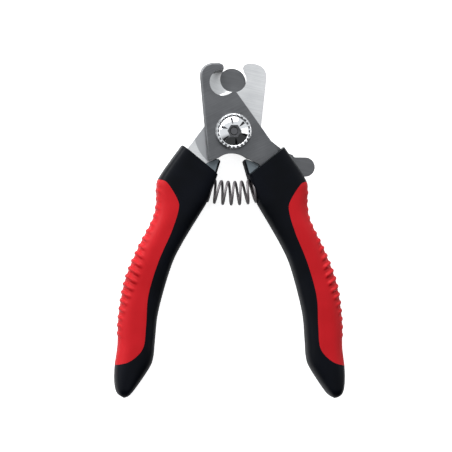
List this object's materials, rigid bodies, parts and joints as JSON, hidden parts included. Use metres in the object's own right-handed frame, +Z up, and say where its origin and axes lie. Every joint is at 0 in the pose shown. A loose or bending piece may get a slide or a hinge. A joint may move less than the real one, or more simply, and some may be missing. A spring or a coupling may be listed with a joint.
{
  "type": "pet nail clipper",
  "caption": "Plier-type pet nail clipper: crossing blades with round notches, swinging nail guard, coil return spring, and black handles with soft ribbed grips.",
  "frame": {"origin": "middle of the footprint of the clipper lying on its back, on the surface that it lies on", "axes": "+Z up, out of the clipper's front face and along the pivot; +Y from the handles to the jaws; +X to the side of the guard's thumb tab"},
  "size_m": [0.1028, 0.1486, 0.016],
  "materials": {
    "front_blade_steel": "satin ground stainless steel",
    "rear_blade_steel": "satin ground stainless steel",
    "guard_steel": "tumbled stainless sheet",
    "chrome": "mirror chrome plate",
    "spring_steel": "drawn spring wire",
    "zinc_steel": "bright zinc plate",
    "black_plastic": "fine moulded texture",
    "red_grip": "soft thermoplastic rubber, satin"
  },
  "bodies": {
    "left_lever": {"rear_blade": "rear_blade_steel", "pivot_bolt": "zinc_steel", "wave_washer": "spring_steel", "nut_washer": "zinc_steel", "pivot_nut": "chrome", "return_spring": "spring_steel", "left_front_shell": "black_plastic", "left_rear_shell": "black_plastic", "left_grip": "red_grip", "left_screw_1": "zinc_steel", "left_screw_2": "zinc_steel", "left_screw_3": "zinc_steel"},
    "right_lever": {"front_blade": "front_blade_steel", "right_front_shell": "black_plastic", "right_rear_shell": "black_plastic", "right_grip": "red_grip", "right_screw_1": "zinc_steel", "right_screw_2": "zinc_steel", "right_screw_3": "zinc_steel"},
    "guard": {"guard_plate": "guard_steel"}
  },
  "joints": [
    {"name": "handle_pivot", "type": "hinge", "parent": "left_lever", "child": "right_lever", "pos_m": [0, 0.04395, 0.008], "axis": [0, 0, -1], "range_deg": [0, 28], "stiffness_Nm_per_rad": 0.7, "deforming": ["return_spring"]},
    {"name": "guard_pivot", "type": "hinge", "parent": "left_lever", "child": "guard", "pos_m": [0, 0.04395, 0.0052], "axis": [0, 0, 1], "range_deg": [0, 32]}
  ]
}
